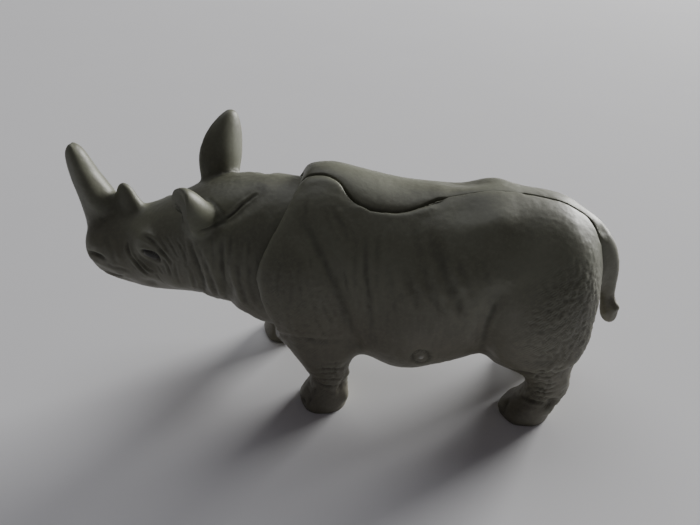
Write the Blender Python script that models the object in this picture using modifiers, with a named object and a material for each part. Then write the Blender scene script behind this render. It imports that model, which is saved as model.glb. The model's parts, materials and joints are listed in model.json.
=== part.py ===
"""A small moulded rhinoceros figure: two body shells and a head seated in their collar.

X runs along the animal with its nose toward -X, its left side faces -Y and +Z is up. The tables
below are in units of one sixty-fifth of the animal's length, which makes a unit 1 mm at full size.
"""

import math

import bmesh
import bpy
import numpy as np
from mathutils import Matrix, Vector

# Driving sizes, metres
LENGTH = 0.065
UNIT = LENGTH / 65.0

# Clearances, units
PART_GAP = 0.3
SOCKET_GAP = 0.38

# Working mesh, units
BODY_VOXEL = 0.42
HEAD_VOXEL = 0.30
BODY_FACES = 4700
HEAD_FACES = 3000
RING_POINTS = 40
SUNK = 1.2
MERGE = 0.03
SHARP = 50.0
SEATED_RINGS = 12

# Torso: x, top, underside, half width, height share of the widest place, upper power, lower power
TORSO = [
    (-11.2, 27.0, 9.0, 7.9, 0.46, 2.2, 2.3),
    (-8.0, 28.0, 7.3, 8.9, 0.46, 2.1, 2.3),
    (-4.6, 28.8, 6.7, 9.3, 0.45, 2.0, 2.4),
    (-2.0, 29.2, 6.4, 9.3, 0.44, 1.9, 2.4),
    (1.6, 28.5, 6.5, 9.3, 0.44, 1.9, 2.4),
    (5.4, 27.5, 6.2, 9.7, 0.44, 2.0, 2.4),
    (8.4, 27.3, 6.1, 9.9, 0.44, 2.0, 2.4),
    (11.4, 27.6, 6.4, 9.8, 0.45, 2.0, 2.4),
    (14.4, 27.8, 7.4, 9.3, 0.47, 2.0, 2.3),
    (18.0, 27.5, 8.7, 8.8, 0.50, 2.1, 2.2),
    (21.0, 27.1, 9.6, 8.3, 0.52, 2.2, 2.2),
    (23.4, 26.6, 10.4, 7.7, 0.52, 2.2, 2.2),
    (25.2, 25.5, 11.2, 6.9, 0.52, 2.2, 2.2),
    (26.7, 24.0, 12.4, 5.6, 0.52, 2.2, 2.2),
    (27.7, 21.8, 14.2, 3.9, 0.52, 2.1, 2.1),
    (28.2, 19.6, 16.4, 1.9, 0.50, 2.0, 2.0),
]

# Head and neck in the same columns, from the seated end of the neck to the nose
NECK = [
    (-2.6, 24.6, 11.4, 5.9, 0.48, 2.1, 2.1),
    (-4.4, 26.3, 9.4, 7.3, 0.48, 2.1, 2.1),
    (-7.0, 27.0, 8.6, 7.9, 0.48, 2.1, 2.1),
    (-10.0, 27.1, 8.8, 7.8, 0.48, 2.1, 2.1),
    (-12.5, 26.9, 10.45, 7.4, 0.48, 2.1, 2.1),
    (-15.5, 26.3, 11.65, 6.8, 0.49, 2.1, 2.1),
    (-18.6, 25.0, 12.0, 6.0, 0.50, 2.2, 2.1),
    (-21.4, 23.6, 11.8, 5.4, 0.50, 2.3, 2.1),
    (-24.2, 22.3, 11.8, 5.0, 0.52, 2.3, 2.2),
    (-26.4, 22.1, 12.3, 4.6, 0.50, 2.2, 2.3),
    (-28.6, 22.2, 12.9, 4.3, 0.46, 2.0, 2.4),
    (-30.3, 21.4, 14.0, 4.0, 0.42, 2.0, 2.4),
    (-31.3, 20.4, 15.1, 3.4, 0.42, 2.1, 2.3),
    (-31.9, 19.0, 16.4, 2.1, 0.42, 2.0, 2.1),
]

# Legs: x, y, z, half length, half width. Side is the sign of y.
FORE_LEG = [
    (-4.2, 5.0, 17.0, 4.2, 2.6),
    (-3.5, 5.7, 13.0, 4.8, 3.3),
    (-2.6, 6.0, 9.8, 4.6, 3.4),
    (-2.2, 6.1, 7.6, 3.5, 3.1),
    (-1.9, 6.1, 5.4, 2.6, 2.6),
    (-1.7, 6.1, 3.8, 2.35, 2.4),
    (-2.1, 6.0, 2.2, 2.8, 2.7),
    (-2.4, 6.0, 0.8, 3.1, 3.05),
    (-2.4, 6.0, -SUNK, 3.1, 3.05),
]
HIND_LEG = [
    (21.6, 4.6, 18.0, 5.4, 3.4),
    (22.1, 5.1, 13.5, 5.6, 4.0),
    (22.7, 5.1, 9.8, 4.1, 3.5),
    (23.7, 4.9, 7.2, 2.9, 2.7),
    (24.3, 4.8, 5.3, 2.7, 2.5),
    (24.2, 4.8, 3.9, 2.5, 2.4),
    (23.2, 4.8, 2.3, 2.6, 2.6),
    (22.3, 4.8, 0.8, 3.1, 2.8),
    (22.3, 4.8, -SUNK, 3.1, 2.8),
]
FAR_FORE_SHIFT = -7.6
FAR_HIND_SHIFT = 0.9
NAIL_SUNK = 0.5
NAIL_TURN = 62.0
NAIL = (0.9, 1.1, 0.9)
MIDDLE_NAIL = 1.15
NAIL_HEIGHT = 0.7
HIP_SWING = (0.0, 0.15, 0.4, 0.7, 0.9, 1.0, 1.0, 1.0, 1.0)

# Muscle masses laid on the body: x, y, z, three half sizes, mirrored to both sides
MASSES = [
    (-4.2, 5.4, 17.0, 5.4, 4.9, 8.2),
    (-7.2, 5.0, 17.4, 3.6, 4.6, 7.0),
    (20.7, 4.4, 15.6, 6.7, 5.2, 8.6),
    (23.2, 3.9, 16.8, 4.7, 4.5, 7.2),
    (15.0, 2.9, 24.8, 4.4, 3.4, 2.4),
    (7.2, 4.4, 13.9, 7.0, 6.0, 7.3),
]

# Tail down the rump: x, z, half thickness, half width
TAIL = [
    (24.6, 25.2, 0.9, 1.5),
    (26.5, 24.1, 1.1, 1.6),
    (28.1, 22.0, 1.2, 1.6),
    (29.1, 19.5, 1.2, 1.5),
    (29.6, 17.0, 1.0, 1.25),
    (29.8, 15.0, 0.9, 1.1),
    (30.3, 13.6, 1.15, 1.35),
    (30.6, 12.3, 1.15, 1.35),
    (30.6, 11.2, 0.7, 0.8),
]

# Horns: x, z, half length, half width
FRONT_HORN = [
    (-29.2, 20.2, 3.0, 2.2),
    (-29.7, 22.0, 2.55, 2.0),
    (-30.4, 24.0, 2.05, 1.75),
    (-31.1, 26.0, 1.65, 1.45),
    (-31.5, 27.9, 1.4, 1.25),
    (-31.7, 29.2, 1.05, 0.95),
    (-31.8, 30.1, 0.5, 0.45),
]
REAR_HORN = [
    (-26.1, 20.8, 2.2, 1.6),
    (-26.2, 22.4, 1.6, 1.3),
    (-26.4, 23.7, 1.25, 1.05),
    (-26.6, 24.8, 0.95, 0.8),
    (-26.7, 25.5, 0.45, 0.4),
]

# Ears: share of the height, half width, back thickness, hollow depth
EAR = [
    (0.00, 1.6, 1.6, 0.0),
    (0.14, 2.2, 2.2, 0.9),
    (0.32, 2.8, 2.6, 2.1),
    (0.52, 2.9, 2.5, 2.2),
    (0.70, 2.6, 2.0, 1.7),
    (0.86, 1.9, 1.4, 0.9),
    (0.97, 1.0, 0.8, 0.3),
    (1.00, 0.4, 0.4, 0.0),
]
NEAR_EAR_ROOT = (-16.3, -4.9, 23.0)
NEAR_EAR_TIP = (-16.2, -6.9, 29.1)
NEAR_EAR_FACING = (-0.72, -0.69, 0.0)
NEAR_EAR_CUP = (0.80, 1.35, 0.60)
FAR_EAR_ROOT = (-16.9, 3.8, 22.8)
FAR_EAR_TIP = (-15.0, 7.2, 32.3)
FAR_EAR_FACING = (-1.0, 0.65, 0.15)
FAR_EAR_CUP = (1.0, 1.0, 0.0)
EAR_BOW = 0.45
EAR_LIP = 0.25
EAR_FRONT = 0.55

# Masses laid on the face, mirrored: brow, side of the muzzle, cheek
FACE_MASSES = [
    (-22.4, 4.0, 19.7, 2.3, 1.6, 2.1),
    (-29.5, 2.2, 17.4, 2.0, 1.9, 2.3),
    (-19.6, 3.6, 16.6, 2.8, 2.3, 2.7),
]

# Hollows and swells pressed into the face, mirrored: x, y, z, radius, depth
DENTS = [
    (-26.0, 4.6, 19.8, 1.5, 0.35),
    (-22.6, 4.9, 19.3, 1.45, 0.55),
    (-22.6, 4.9, 19.3, 0.75, -0.55),
    (-29.8, 3.8, 17.6, 0.8, 0.70),
    (-30.0, 4.1, 18.6, 0.8, -0.20),
]

# Collar: front edge of the shoulder plates as z, x on the left side, x on the right side
COLLAR = [
    (2.0, -12.0, -18.0), (6.0, -10.5, -18.0), (8.5, -8.8, -16.0), (10.5, -7.4, -12.0), (12.6, -7.2, -9.0),
    (14.7, -7.9, -8.4), (17.4, -8.7, -8.7), (19.7, -9.0, -9.0), (21.4, -8.6, -8.6), (23.9, -7.4, -7.4),
    (26.0, -6.3, -6.3), (27.2, -5.6, -5.6), (28.3, -4.9, -4.9), (29.3, -3.7, -3.7), (31.0, -1.2, -1.2),
]

# Parting line over the back: x, y of the wall where it meets the top of the body
PARTING = [
    (-18.0, -1.1), (-4.6, -1.1), (-2.4, -1.3), (-0.8, -2.1), (0.4, -3.3), (1.9, -4.0), (3.6, -4.1),
    (5.8, -3.8), (7.8, -2.9), (9.6, -1.7), (12.0, -0.7), (15.0, 0.1), (18.6, 0.5), (22.0, 0.4),
    (24.6, -0.1), (26.2, -1.2), (27.6, -1.9), (33.0, -2.0),
]
PARTING_LOW = 15.0
PARTING_HIGH = 22.0
WALL_HEIGHTS = (-3.0, 5.0, 9.0, 12.0, PARTING_LOW, 17.5, 20.0, PARTING_HIGH, 36.0)
WALL_REACH = 18.0
COLLAR_STATIONS = (-16.0, 1.0, 4.0, 16.0)
COLLAR_REACH = -24.0
RUMP_START = 22.0
RUMP_END = 27.6
RUMP_LOW = -4.0

# Creases: side sign or 0 for both, half breadth, depth, swell behind it, then x, z along it
CREASES = [
    (0, 0.90, 0.55, 0.15, [(-4.8, 26.2), (-3.8, 25.3), (-2.2, 23.5), (-0.8, 21.0), (-0.1, 18.9),
                           (0.7, 15.7), (1.4, 12.1), (2.0, 10.0)]),
    (0, 0.90, 0.60, 0.20, [(16.6, 21.2), (16.4, 19.9), (15.7, 16.5), (15.6, 13.4), (16.0, 11.4),
                           (17.6, 9.6)]),
    (0, 0.65, 0.50, 0.25, [(18.0, 8.8), (20.0, 8.7), (22.2, 9.4), (24.8, 9.6), (27.0, 9.6)]),
    (0, 0.60, 0.22, 0.12, [(1.9, 25.2), (2.5, 22.5), (3.0, 19.6), (3.1, 15.3), (3.4, 12.0)]),
    (0, 0.60, 0.28, 0.15, [(10.0, 24.4), (10.3, 23.6), (11.7, 21.6), (13.0, 19.1), (13.4, 17.4)]),
]
NECK_CREASES = [
    (0, 0.55, 0.40, 0.10, [(-9.2, 27.2), (-9.9, 26.6), (-11.1, 25.7), (-12.4, 25.0), (-13.6, 24.2),
                           (-14.8, 22.4)]),
    (0, 0.60, 0.35, 0.15, [(-13.2, 22.8), (-13.0, 19.6), (-12.6, 16.5), (-13.4, 13.6), (-14.4, 11.8)]),
    (0, 0.60, 0.35, 0.15, [(-16.8, 22.1), (-16.2, 19.7), (-16.3, 15.6), (-17.4, 12.6)]),
    (0, 0.45, 0.28, 0.12, [(-31.6, 16.4), (-30.4, 15.9), (-28.8, 15.3), (-27.1, 14.6), (-25.4, 13.9)]),
]


def clear_scene():
    for item in list(bpy.data.objects):
        bpy.data.objects.remove(item, do_unlink=True)


def collection(name):
    made = bpy.data.collections.new(name)
    bpy.context.scene.collection.children.link(made)
    return made


def sample(rows, at):
    """Rows read at positions between 0 and len(rows) - 1 along a Catmull-Rom curve."""
    rows = np.asarray(rows, dtype=float)
    last = len(rows) - 1
    out = []
    for place in at:
        i = min(int(math.floor(place)), last - 1)
        t = place - i
        p0, p1 = rows[max(i - 1, 0)], rows[i]
        p2, p3 = rows[i + 1], rows[min(i + 2, last)]
        out.append(0.5 * (2 * p1 + (p2 - p0) * t + (2 * p0 - 5 * p1 + 4 * p2 - p3) * t ** 2
                          + (3 * p1 - p0 - 3 * p2 + p3) * t ** 3))
    return np.array(out)


def refine(rows, steps):
    return sample(rows, np.linspace(0, len(rows) - 1, (len(rows) - 1) * steps + 1))


def signed_power(value, power):
    return np.sign(value) * np.abs(value) ** (2.0 / power)


def mesh_object(name, group, points, faces):
    mesh = bpy.data.meshes.new(name)
    mesh.from_pydata([tuple(float(c) * UNIT for c in p) for p in points], [], faces)
    mesh.update()
    made = bpy.data.objects.new(name, mesh)
    group.objects.link(made)
    return made


def loft(name, group, rings):
    """A closed skin through rings of equal point count, with a fan on each end."""
    count = len(rings[0])
    points = [p for ring in rings for p in ring]
    faces = []
    for r in range(len(rings) - 1):
        for i in range(count):
            a, b = r * count + i, r * count + (i + 1) % count
            faces.append((a, b, b + count, a + count))
    for ring, base, turn in ((rings[0], 0, -1), (rings[-1], (len(rings) - 1) * count, 1)):
        points.append(np.mean(ring, axis=0))
        for i in range(count):
            face = (base + i, base + (i + 1) % count, len(points) - 1)
            faces.append(face[::turn])
    made = mesh_object(name, group, points, faces)
    shell = bmesh.new()
    shell.from_mesh(made.data)
    bmesh.ops.recalc_face_normals(shell, faces=shell.faces)
    shell.to_mesh(made.data)
    shell.free()
    return made


def trunk_rings(rows, grow=0.0, steps=3):
    """Rings square to X: round-shouldered sections with a fuller lower half."""
    turn = np.linspace(0, 2 * math.pi, RING_POINTS, endpoint=False)
    rings = []
    for x, top, low, half, share, upper, lower in refine(rows, steps):
        top, low, half = top + grow, low - grow, half + grow
        waist = low + (top - low) * share
        power = np.where(np.sin(turn) >= 0, upper, lower)
        y = half * signed_power(np.cos(turn), power)
        rise = np.where(np.sin(turn) >= 0, top - waist, waist - low)
        z = waist + rise * signed_power(np.sin(turn), power)
        rings.append(np.column_stack([np.full_like(y, x), y, z]))
    return rings


def leg_rings(rows, side, shift, swing):
    """Level rings down a leg, carried fore or aft by shift as it nears the ground."""
    turn = np.linspace(0, 2 * math.pi, RING_POINTS, endpoint=False)
    carried = [(x + shift * s, y * side, z, a, b) for (x, y, z, a, b), s in zip(rows, swing)]
    rings = []
    for x, y, z, half_x, half_y in refine(carried, 3):
        rings.append(np.column_stack([
            x + half_x * np.cos(turn), y + half_y * np.sin(turn), np.full_like(turn, z)]))
    return rings


def bent_rings(rows, y=0.0):
    """Rings square to a path in the middle plane, for the horns and the tail."""
    turn = np.linspace(0, 2 * math.pi, RING_POINTS // 2, endpoint=False)
    fine = refine(rows, 3)
    rings = []
    for i, (x, z, thick, wide) in enumerate(fine):
        ahead, behind = fine[min(i + 1, len(fine) - 1)], fine[max(i - 1, 0)]
        run = np.array([ahead[0] - behind[0], ahead[1] - behind[1]])
        run /= np.linalg.norm(run)
        across = np.array([-run[1], run[0]])
        rings.append(np.column_stack([
            x + across[0] * thick * np.cos(turn), y + wide * np.sin(turn),
            z + across[1] * thick * np.cos(turn)]))
    return rings


def ear_rings(root, tip, facing, cup):
    """A cupped leaf: rings across the ear's rise, hollowed on the side that it faces.

    The cup holds shares: its width, its depth and how far its back droops for its depth.
    """
    width, depth, droop = cup
    root, tip = np.array(root), np.array(tip)
    rise = (tip - root) / np.linalg.norm(tip - root)
    out = np.array(facing, dtype=float)
    out -= rise * np.dot(out, rise)
    out /= np.linalg.norm(out)
    side = np.cross(rise, out)
    turn = np.linspace(0, 2 * math.pi, RING_POINTS // 2, endpoint=False)
    rings = []
    for share, half, back, hollow in refine(EAR, 3):
        u = half * width * np.cos(turn)
        front = EAR_FRONT * back * np.sin(turn) - hollow * np.sin(turn) ** 2 + EAR_LIP * hollow
        rear = back * np.sin(turn)
        v = depth * np.where(np.sin(turn) > 0, front, rear)
        middle = root + (tip - root) * share
        middle[0] -= EAR_BOW * 4 * share * (1 - share)
        ring = middle + np.outer(u, side) + np.outer(v, out)
        ring[:, 2] += droop * np.minimum(v, 0.0)
        rings.append(ring)
    return rings


def ball(name, group, centre, halves):
    bpy.ops.mesh.primitive_uv_sphere_add(segments=24, ring_count=16, radius=1.0)
    made = bpy.context.object
    made.name = name
    for old in made.users_collection:
        old.objects.unlink(made)
    group.objects.link(made)
    made.data.transform(placed(centre, halves))
    return made


def placed(centre, sizes):
    """The matrix that scales a unit shape to its sizes and carries it to its centre."""
    return Matrix.Translation(Vector(centre) * UNIT) @ Matrix.Diagonal((*(Vector(sizes) * UNIT), 1.0))


def join(pieces, name):
    bpy.ops.object.select_all(action="DESELECT")
    for piece in pieces:
        piece.select_set(True)
    bpy.context.view_layer.objects.active = pieces[0]
    bpy.ops.object.join()
    pieces[0].name = name
    return pieces[0]


def apply(thing, kind, **values):
    """One modifier set up and applied."""
    tool = thing.modifiers.new(kind.title(), kind)
    for key, value in values.items():
        setattr(tool, key, value)
    bpy.ops.object.select_all(action="DESELECT")
    thing.select_set(True)
    bpy.context.view_layer.objects.active = thing
    bpy.ops.object.modifier_apply(modifier=tool.name)


def points_of(thing):
    flat = np.empty(len(thing.data.vertices) * 3)
    thing.data.vertices.foreach_get("co", flat)
    return flat.reshape(-1, 3) / UNIT


def normals_of(thing):
    flat = np.empty(len(thing.data.vertices) * 3)
    thing.data.vertices.foreach_get("normal", flat)
    return flat.reshape(-1, 3)


def put_points(thing, points):
    thing.data.vertices.foreach_set("co", (points * UNIT).ravel())
    thing.data.update()


def relax(thing, rounds, weight):
    """Each point drawn toward the mean of its neighbours, by a weight worked out per point."""
    ends = np.empty(len(thing.data.edges) * 2, dtype=np.int64)
    thing.data.edges.foreach_get("vertices", ends)
    a, b = ends.reshape(-1, 2).T
    points = points_of(thing)
    degree = np.bincount(np.concatenate([a, b]), minlength=len(points)).astype(float)
    share = weight(points)[:, None]
    for _ in range(rounds):
        total = np.zeros_like(points)
        for axis in range(3):
            total[:, axis] = (np.bincount(a, points[b, axis], len(points))
                              + np.bincount(b, points[a, axis], len(points)))
        points = points + share * (total / degree[:, None] - points)
    put_points(thing, points)


def crease(thing, creases):
    """Grooves with a low swell on one side, pressed in along curves drawn on the flanks."""
    points, normals = points_of(thing), normals_of(thing)
    moved = np.zeros(len(points))
    for side, breadth, depth, swell, path in creases:
        line = refine(path, 8)
        gaps = points[:, None, [0, 2]] - line[None, :, :]
        reach = np.sqrt((gaps ** 2).sum(axis=2))
        near = reach.argmin(axis=1)
        away = reach.min(axis=1)
        run = np.gradient(line, axis=0)[near]
        gap = gaps[np.arange(len(points)), near]
        hand = np.sign(run[:, 0] * gap[:, 1] - run[:, 1] * gap[:, 0])
        ends = np.clip(np.minimum(near, len(line) - 1 - near) / 6.0, 0, 1)
        flank = np.clip(np.abs(normals[:, 1]) * 2.2 - 0.1, 0, 1)
        if side:
            flank *= points[:, 1] * side > 0
        moved += flank * ends * (swell * np.exp(-((away - 2.0 * breadth) / breadth) ** 2) * (hand > 0)
                                 - depth * np.exp(-(away / breadth) ** 2))
    put_points(thing, points + normals * moved[:, None])


def dent(thing, centre, radius, depth):
    points, normals = points_of(thing), normals_of(thing)
    for side in (-1, 1):
        place = np.array([centre[0], centre[1] * side, centre[2]])
        away = np.linalg.norm(points - place, axis=1)
        points = points - normals * (depth * np.exp(-(away / radius) ** 2))[:, None]
    put_points(thing, points)


def toes(group, centre, half_x, half_y):
    """Three broad nails round the front of a foot."""
    made = []
    for turn, broad in ((-NAIL_TURN, 1.0), (0.0, MIDDLE_NAIL), (NAIL_TURN, 1.0)):
        ahead, aside = math.cos(math.radians(turn)), math.sin(math.radians(turn))
        place = (centre[0] - (half_x - NAIL_SUNK) * ahead, centre[1] + (half_y - NAIL_SUNK) * aside,
                 NAIL_HEIGHT)
        made.append(ball("nail", group, place, (NAIL[0], NAIL[1] * broad, NAIL[2])))
    return made


def build_body(group):
    made = [loft("torso", group, trunk_rings(TORSO))]
    still = (0.0,) * len(FORE_LEG)
    for rows, side, shift, swing in (
            (FORE_LEG, -1, 0.0, still), (FORE_LEG, 1, FAR_FORE_SHIFT, HIP_SWING),
            (HIND_LEG, -1, 0.0, still), (HIND_LEG, 1, FAR_HIND_SHIFT, HIP_SWING)):
        made.append(loft("leg", group, leg_rings(rows, side, shift, swing)))
        foot = rows[-2]
        made += toes(group, (foot[0] + shift, foot[1] * side), foot[3], foot[4])
    for x, y, z, a, b, c in MASSES:
        for side in (-1, 1):
            made.append(ball("mass", group, (x, y * side, z), (a, b, c)))
    made.append(loft("tail", group, bent_rings(TAIL)))
    body = join(made, "body")
    apply(body, "REMESH", mode="VOXEL", voxel_size=BODY_VOXEL * UNIT)
    relax(body, 7, lambda p: 0.6 - 0.3 * (p[:, 2] < 2.5) - 0.45 * (p[:, 0] > 29.2))
    crease(body, CREASES)
    relax(body, 1, lambda p: np.full(len(p), 0.3))
    return body


def build_head(group):
    made = [loft("neck", group, trunk_rings(NECK))]
    made.append(loft("horn", group, bent_rings(FRONT_HORN)))
    made.append(loft("horn", group, bent_rings(REAR_HORN)))
    for root, tip, facing, cup in (
            (NEAR_EAR_ROOT, NEAR_EAR_TIP, NEAR_EAR_FACING, NEAR_EAR_CUP),
            (FAR_EAR_ROOT, FAR_EAR_TIP, FAR_EAR_FACING, FAR_EAR_CUP)):
        made.append(loft("ear", group, ear_rings(root, tip, facing, cup)))
    for x, y, z, a, b, c in FACE_MASSES:
        for side in (-1, 1):
            made.append(ball("mass", group, (x, y * side, z), (a, b, c)))
    head = join(made, "head")
    apply(head, "REMESH", mode="VOXEL", voxel_size=HEAD_VOXEL * UNIT)
    relax(head, 6, lambda p: 0.55 - 0.35 * (p[:, 2] > 24.5) * (p[:, 0] < -12))
    crease(head, NECK_CREASES)
    for x, y, z, radius, depth in DENTS:
        dent(head, (x, y, z), radius, depth)
    relax(head, 1, lambda p: np.full(len(p), 0.3))
    return head


def wall_block(name, group, side):
    """A block that fills one side of the wandering parting wall."""
    half_gap = PART_GAP / 2 * side
    path = refine(PARTING, 3)
    points, faces = [], []
    for x, y in path:
        back = np.clip((x - RUMP_START) / (RUMP_END - RUMP_START), 0, 1)
        low = PARTING_LOW + (RUMP_LOW - PARTING_LOW) * back
        for z in WALL_HEIGHTS:
            rise = np.clip((z - low) / (PARTING_HIGH - PARTING_LOW), 0, 1)
            points.append((x, y * rise + half_gap, z))
    depth = len(WALL_HEIGHTS)
    for i in range(len(path) - 1):
        for j in range(depth - 1):
            a = i * depth + j
            faces.append((a, a + depth, a + depth + 1, a + 1))
    wall = mesh_object(name, group, points, faces)
    block = bmesh.new()
    block.from_mesh(wall.data)
    moved = bmesh.ops.extrude_face_region(block, geom=block.faces[:])["geom"]
    for item in moved:
        if isinstance(item, bmesh.types.BMVert):
            item.co.y = WALL_REACH * side * UNIT
    bmesh.ops.recalc_face_normals(block, faces=block.faces)
    block.to_mesh(wall.data)
    block.free()
    hide(wall)
    return wall


def collar_block(group):
    """What lies ahead of the shoulder plates' front edge."""
    heights = refine(COLLAR, 3)
    points, faces = [], []
    for z, near, far in heights:
        points += [(x, y, z) for x, y in zip((near, near, far, far), COLLAR_STATIONS)]
    for i in range(len(heights) - 1):
        for a in range(4 * i, 4 * i + 3):
            faces.append((a, a + 1, a + 5, a + 4))
    wall = mesh_object("collar_cutter", group, points, faces)
    block = bmesh.new()
    block.from_mesh(wall.data)
    moved = bmesh.ops.extrude_face_region(block, geom=block.faces[:])["geom"]
    for item in moved:
        if isinstance(item, bmesh.types.BMVert):
            item.co.x = COLLAR_REACH * UNIT
    bmesh.ops.recalc_face_normals(block, faces=block.faces)
    block.to_mesh(wall.data)
    block.free()
    hide(wall)
    return wall


def hide(thing):
    thing.hide_render = True
    thing.display_type = "WIRE"


def cut(thing, cutter, operation):
    apply(thing, "BOOLEAN", object=cutter, operation=operation, solver="EXACT")


def box(name, group, low, high):
    bpy.ops.mesh.primitive_cube_add(size=1.0)
    made = bpy.context.object
    made.name = name
    for old in made.users_collection:
        old.objects.unlink(made)
    group.objects.link(made)
    centre = [(a + b) / 2 for a, b in zip(low, high)]
    made.data.transform(placed(centre, [b - a for a, b in zip(low, high)]))
    hide(made)
    return made


def tidy(thing):
    """Short edges merged and the largest body kept, without what hangs on it by a single edge."""
    shell = bmesh.new()
    shell.from_mesh(thing.data)
    bmesh.ops.remove_doubles(shell, verts=shell.verts, dist=MERGE * UNIT)
    bmesh.ops.dissolve_degenerate(shell, edges=shell.edges, dist=MERGE * UNIT)
    bmesh.ops.triangulate(shell, faces=shell.faces)
    left = set(shell.faces)
    islands = []
    while left:
        seed = left.pop()
        island, front = [seed], [seed]
        while front:
            for edge in front.pop().edges:
                if len(edge.link_faces) != 2:
                    continue
                for other in edge.link_faces:
                    if other in left:
                        left.remove(other)
                        island.append(other)
                        front.append(other)
        islands.append(island)
    islands.sort(key=len)
    for island in islands[:-1]:
        bmesh.ops.delete(shell, geom=island, context="FACES")
    bmesh.ops.recalc_face_normals(shell, faces=shell.faces)
    shell.to_mesh(thing.data)
    shell.free()


def copy_of(thing, name, group):
    made = thing.copy()
    made.data = thing.data.copy()
    made.name = name
    group.objects.link(made)
    return made


def plastic(name, colour, roughness):
    made = bpy.data.materials.new(name)
    made.use_nodes = True
    shader = made.node_tree.nodes["Principled BSDF"]
    shader.inputs["Base Color"].default_value = (*colour, 1.0)
    shader.inputs["Roughness"].default_value = roughness
    shader.inputs["Metallic"].default_value = 0.0
    return made


def finish(thing, name, material):
    thing.name = name
    thing.data.name = name
    thing.data.materials.clear()
    thing.data.materials.append(material)
    thing.data.shade_smooth()
    thing.data.set_sharp_from_angle(angle=math.radians(SHARP))


def main():
    clear_scene()
    parts = collection("rhinoceros_figure")
    cutters = collection("cutters")

    body = build_body(parts)
    apply(body, "DECIMATE", ratio=BODY_FACES / (2.0 * len(body.data.polygons)))
    floor = box("floor_cutter", cutters, (-60, -30, -10), (60, 30, 0))
    cut(body, floor, "DIFFERENCE")
    cut(body, collar_block(cutters), "DIFFERENCE")
    socket = loft("socket_cutter", cutters, trunk_rings(NECK, SOCKET_GAP, 2)[:SEATED_RINGS])
    hide(socket)
    cut(body, socket, "DIFFERENCE")

    right = copy_of(body, "right_shell", parts)
    cut(body, wall_block("left_wall", cutters, -1), "INTERSECT")
    cut(right, wall_block("right_wall", cutters, 1), "INTERSECT")

    head = build_head(parts)
    apply(head, "DECIMATE", ratio=HEAD_FACES / (2.0 * len(head.data.polygons)))

    shells = (
        (body, "left_shell", plastic("left_shell_plastic", (0.118, 0.122, 0.092), 0.46)),
        (right, "right_shell", plastic("right_shell_plastic", (0.122, 0.126, 0.095), 0.46)),
        (head, "head", plastic("head_plastic", (0.112, 0.117, 0.088), 0.44)),
    )
    for thing, name, material in shells:
        tidy(thing)
        finish(thing, name, material)

    corners = np.vstack([points_of(thing) for thing, _, _ in shells])
    middle = (corners.min(axis=0) + corners.max(axis=0)) / 2
    for thing in list(parts.objects) + list(cutters.objects):
        put_points(thing, points_of(thing) - np.array([middle[0], middle[1], 0.0]))


main()
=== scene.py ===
"""The finished look of a small moulded rhinoceros figure on pale paper.

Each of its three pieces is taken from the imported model, given an even fine skin and carved with the
folds, wrinkles, pebbled hide and moulding marks of the figure. Lengths are in millimetres up to the
point where they meet a mesh.
"""

import json
import math

import bmesh
import bpy
import numpy as np
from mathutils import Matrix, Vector, noise
from mathutils.bvhtree import BVHTree


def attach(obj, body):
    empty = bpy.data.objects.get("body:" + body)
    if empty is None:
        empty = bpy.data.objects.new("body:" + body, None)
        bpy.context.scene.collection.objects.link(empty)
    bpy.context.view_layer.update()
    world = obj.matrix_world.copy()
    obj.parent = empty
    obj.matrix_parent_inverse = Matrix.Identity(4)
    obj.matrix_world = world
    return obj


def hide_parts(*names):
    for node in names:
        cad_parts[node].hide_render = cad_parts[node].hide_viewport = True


MM = 0.001

# Camera: where the lens is, how far it looks down and round, its focal length and frame in points
LENS_AT = (9.376, -62.571, 61.0)
LOOK_DOWN = 35.0
LOOK_ROUND = 8.0
FOCUS = 650.0
FRAME = (700.0, 525.0)

# Skin: spacing of its points and how often they are drawn smooth
BODY_GRID, BODY_ROUNDS = 0.20, 24
HEAD_GRID, HEAD_ROUNDS = 0.156, 12
# Points nearer than WELD are joined, and edges turned by more than SHARP degrees stay hard
WELD = 0.002
SHARP = 50.0
# Soles kept level below SOLE, and carving that fades in over SOLE_FADE above it
SOLE, SOLE_FADE = 0.3, 0.8
# Length of the averaged normal from which a place counts as smooth, and the range to fully smooth
SMOOTH_FROM, SMOOTH_RANGE = 0.86, 0.10
SMOOTH_SHARE, EDGE_SHARE, EDGE_ALONG = 0.55, 0.04, 0.5
# Bend of the skin that counts as a full hollow or full ridge, for the painted shade in hollows and the
# painted sheen on ridges, and the share of carved shade in that painted shade
BEND, SHADE_SHARE = 0.016, 0.6

# Step along a traced path in points of the frame, and how far a carved point has to face its way
TRACE_STEP = 1.2
FACING = 0.1
# Folds: their reach and the lip's place and breadth as shares of the breadth, how they fade to their
# ends, how their depth beats along them, and the depth at which the groove's painted shade is full
FOLD_REACH, LIP_AWAY, LIP_BREADTH, FADE = 4.0, 1.9, 0.9, 0.45
BEAT_MEAN, BEAT_SWING, BEAT_SIZE, BEAT_LIMITS = 0.85, 0.7, 0.9, (0.45, 1.2)
DARK_DEPTH = 0.25
SWELL_REACH = 2.6

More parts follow.
